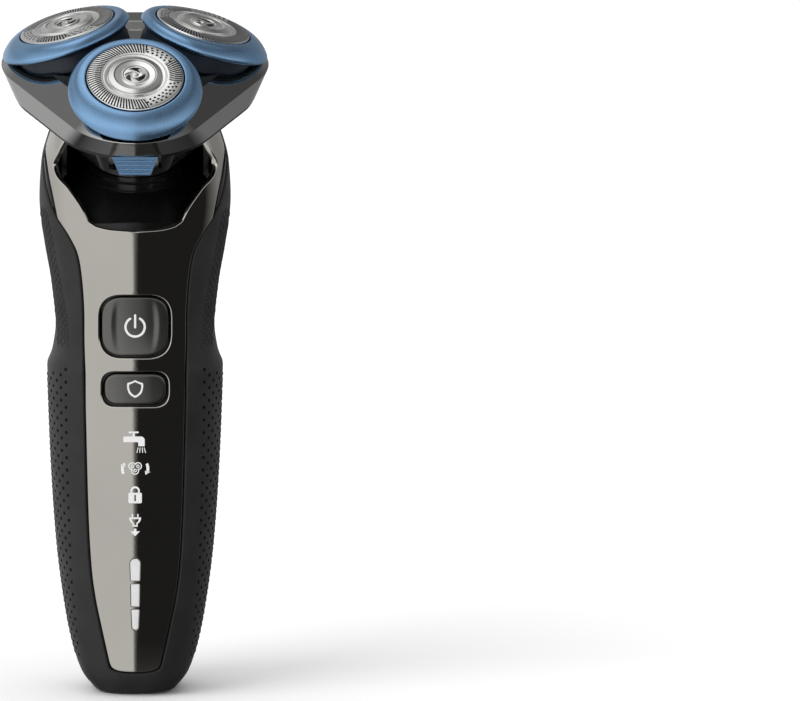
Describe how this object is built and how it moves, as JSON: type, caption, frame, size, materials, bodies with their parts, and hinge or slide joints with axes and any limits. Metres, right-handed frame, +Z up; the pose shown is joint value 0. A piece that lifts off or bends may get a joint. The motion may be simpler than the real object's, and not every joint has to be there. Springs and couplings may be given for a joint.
{
  "type": "electric shaver",
  "caption": "Hand-held rotary shaver: rubber-gripped handle with power and mode buttons and a hinged, pull-off shaving unit with tilting slotted heads driven by gears.",
  "frame": {"origin": "centre of the flat foot", "axes": "+Z up along the handle, front panel faces -Y, +X to the viewer's right seen from the front"},
  "size_m": [0.0648, 0.0611, 0.1667],
  "materials": {
    "rubber_dark": "soft-touch, dotted",
    "chrome_dark": "dark polished plating",
    "black_gloss": "gloss",
    "black_matt": "fine texture",
    "grey_plastic": "moulded",
    "light_guide": "translucent white",
    "button_metal": "dark plated, satin",
    "blue_metal": "satin metallic blue",
    "steel": "brushed",
    "gear_plastic": "acetal",
    "cell_wrap": "shrink wrap",
    "board_green": "solder mask",
    "nickel": "nickel plate",
    "copper_iron": "laminated, wound"
  },
  "bodies": {
    "handle": {"grip_shell": "rubber_dark", "front_panel": "chrome_dark", "side_trims": "black_gloss", "neck_cowl": "black_gloss", "chassis": "black_matt", "power_bezel": "black_gloss", "mode_bezel": "black_gloss", "charge_bars": "light_guide", "battery_cell": "cell_wrap", "battery_tabs": "nickel", "circuit_board": "board_green", "board_parts": "black_matt", "motor_can": "steel", "motor_end_cap": "black_matt", "motor_bracket": "grey_plastic", "socket_housing": "black_matt", "socket_pins": "nickel", "neck_collar": "black_gloss", "shaft_seal": "rubber_dark", "screws": "steel"},
    "power_button": {"power_button": "button_metal"},
    "mode_button": {"mode_button": "button_metal"},
    "motor_rotor": {"armature": "copper_iron", "motor_shaft": "steel", "drive_cup": "gear_plastic"},
    "unit_base": {"under_bowl": "black_gloss", "gear_cover": "grey_plastic", "hinge_pin": "steel"},
    "centre_gear": {"centre_wheel": "gear_plastic"},
    "unit_top": {"head_shell": "chrome_dark", "head_deck": "black_matt", "cradle_front": "grey_plastic", "cradle_right": "grey_plastic", "cradle_left": "grey_plastic"},
    "release": {"release_button": "blue_metal"},
    "drive_front": {"spindle_front": "gear_plastic"},
    "ring_front": {"skin_ring_front": "blue_metal"},
    "cap_set_front": {"cap_front": "steel", "cap_centre_front": "steel", "retainer_front": "grey_plastic"},
    "cutter_set_front": {"cutter_front": "steel"},
    "drive_right": {"spindle_right": "gear_plastic"},
    "ring_right": {"skin_ring_right": "blue_metal"},
    "cap_set_right": {"cap_right": "steel", "cap_centre_right": "steel", "retainer_right": "grey_plastic"},
    "cutter_set_right": {"cutter_right": "steel"},
    "drive_left": {"spindle_left": "gear_plastic"},
    "ring_left": {"skin_ring_left": "blue_metal"},
    "cap_set_left": {"cap_left": "steel", "cap_centre_left": "steel", "retainer_left": "grey_plastic"},
    "cutter_set_left": {"cutter_left": "steel"}
  },
  "joints": [
    {"name": "power_press", "type": "slide", "parent": "handle", "child": "power_button", "axis": [0, 1, 0], "range_m": [0, 0.0007], "stiffness_N_per_m": 1500},
    {"name": "mode_press", "type": "slide", "parent": "handle", "child": "mode_button", "axis": [0, 1, 0], "range_m": [0, 0.0007], "stiffness_N_per_m": 1500},
    {"name": "motor_spin", "type": "hinge", "parent": "handle", "child": "motor_rotor", "pos_m": [0, 0.00758, 0.11242], "axis": [0, -0.3256, 0.9455], "continuous": true},
    {"name": "unit_pull", "type": "slide", "parent": "handle", "child": "unit_base", "axis": [0, -0.3256, 0.9455], "range_m": [0, 0.02]},
    {"name": "centre_spin", "type": "hinge", "parent": "unit_base", "child": "centre_gear", "pos_m": [0, -0.00186, 0.13984], "axis": [0, -0.3256, 0.9455], "continuous": true},
    {"name": "unit_open", "type": "hinge", "parent": "unit_base", "child": "unit_top", "pos_m": [0, 0.02026, 0.15423], "axis": [-1, 0, 0], "range_deg": [0, 80]},
    {"name": "release_press", "type": "slide", "parent": "unit_base", "child": "release", "axis": [0, 0.9455, 0.3256], "range_m": [0, 0.0008], "stiffness_N_per_m": 1500},
    {"name": "drive_spin_front", "type": "hinge", "parent": "unit_base", "child": "drive_front", "pos_m": [0, -0.02046, 0.13979], "axis": [0, -0.3256, 0.9455], "continuous": true},
    {"name": "ring_tilt_front", "type": "hinge", "parent": "unit_top", "child": "ring_front", "pos_m": [0, -0.02279, 0.14817], "axis": [-1, 0, 0], "range_deg": [0, 5], "stiffness_Nm_per_rad": 0.4},
    {"name": "cap_float_front", "type": "slide", "parent": "ring_front", "child": "cap_set_front", "axis": [0, -0.5878, 0.809], "range_m": [-0.001, 0], "stiffness_N_per_m": 900},
    {"name": "cutter_spin_front", "type": "hinge", "parent": "cap_set_front", "child": "cutter_set_front", "pos_m": [0, -0.0249, 0.15109], "axis": [0, -0.5878, 0.809], "continuous": true},
    {"name": "drive_spin_right", "type": "hinge", "parent": "unit_base", "child": "drive_right", "pos_m": [0.01524, 0.0045, 0.14838], "axis": [0, -0.3256, 0.9455], "continuous": true},
    {"name": "ring_tilt_right", "type": "hinge", "parent": "unit_top", "child": "ring_right", "pos_m": [0.01478, 0.00143, 0.15651], "axis": [0.5, -0.8188, -0.282], "range_deg": [0, 5], "stiffness_Nm_per_rad": 0.4},
    {"name": "cap_float_right", "type": "slide", "parent": "ring_right", "child": "cap_set_right", "axis": [0.2532, -0.1731, 0.9518], "range_m": [-0.001, 0], "stiffness_N_per_m": 900},
    {"name": "cutter_spin_right", "type": "hinge", "parent": "cap_set_right", "child": "cutter_set_right", "pos_m": [0.01569, 0.0008, 0.15994], "axis": [0.2532, -0.1731, 0.9518], "continuous": true},
    {"name": "drive_spin_left", "type": "hinge", "parent": "unit_base", "child": "drive_left", "pos_m": [-0.01524, 0.0045, 0.14838], "axis": [0, -0.3256, 0.9455], "continuous": true},
    {"name": "ring_tilt_left", "type": "hinge", "parent": "unit_top", "child": "ring_left", "pos_m": [-0.01478, 0.00143, 0.15651], "axis": [0.5, 0.8188, 0.282], "range_deg": [0, 5], "stiffness_Nm_per_rad": 0.4},
    {"name": "cap_float_left", "type": "slide", "parent": "ring_left", "child": "cap_set_left", "axis": [-0.2532, -0.1731, 0.9518], "range_m": [-0.001, 0], "stiffness_N_per_m": 900},
    {"name": "cutter_spin_left", "type": "hinge", "parent": "cap_set_left", "child": "cutter_set_left", "pos_m": [-0.01569, 0.0008, 0.15994], "axis": [-0.2532, -0.1731, 0.9518], "continuous": true}
  ],
  "couplings": [
    {"joint": "centre_spin", "follows": "motor_spin", "ratio": 1},
    {"joint": "drive_spin_front", "follows": "motor_spin", "ratio": -1.5882},
    {"joint": "cutter_spin_front", "follows": "motor_spin", "ratio": -1.5882},
    {"joint": "drive_spin_right", "follows": "motor_spin", "ratio": -1.5882},
    {"joint": "cutter_spin_right", "follows": "motor_spin", "ratio": -1.5882},
    {"joint": "drive_spin_left", "follows": "motor_spin", "ratio": -1.5882},
    {"joint": "cutter_spin_left", "follows": "motor_spin", "ratio": -1.5882}
  ]
}
